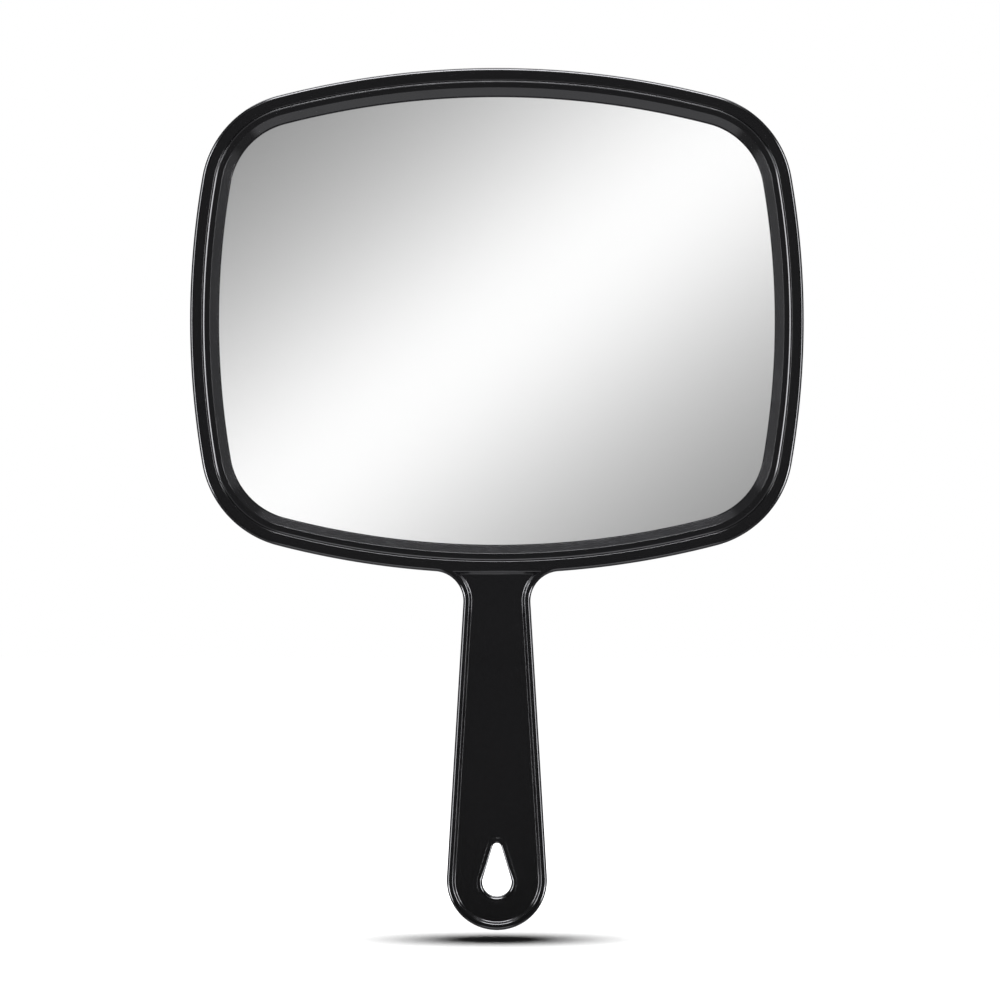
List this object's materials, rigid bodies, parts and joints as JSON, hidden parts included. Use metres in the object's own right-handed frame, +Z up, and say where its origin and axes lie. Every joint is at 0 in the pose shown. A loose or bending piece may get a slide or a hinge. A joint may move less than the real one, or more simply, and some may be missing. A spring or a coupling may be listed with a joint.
{
  "type": "hand mirror",
  "caption": "Salon hand mirror with a wide rounded head, a glass set in a stepped black frame, and a tapered handle with a teardrop hanging hole.",
  "frame": {"origin": "middle of the grip, on the handle's centre line and halfway through its thickness", "axes": "+Z up along the handle to the head, +X to the right of someone who looks at the glass, -Y out of the glass"},
  "size_m": [0.1864, 0.011, 0.262],
  "materials": {
    "black_abs": "polished black ABS moulding",
    "clear_glass": "2 mm float glass with seamed edges",
    "silver_coat": "silvered reflecting coat, grey protective paint behind",
    "foam": "pale grey closed-cell foam sheet",
    "adhesive": "double-sided adhesive tape"
  },
  "bodies": {
    "root": {"front_frame": "black_abs", "bezel_ring": "black_abs", "mirror_glass": "clear_glass", "silver_backing": "silver_coat", "foam_pad": "foam", "tape_top": "adhesive", "tape_bottom": "adhesive", "tape_left": "adhesive", "tape_right": "adhesive", "rear_cover": "black_abs"}
  },
  "joints": []
}
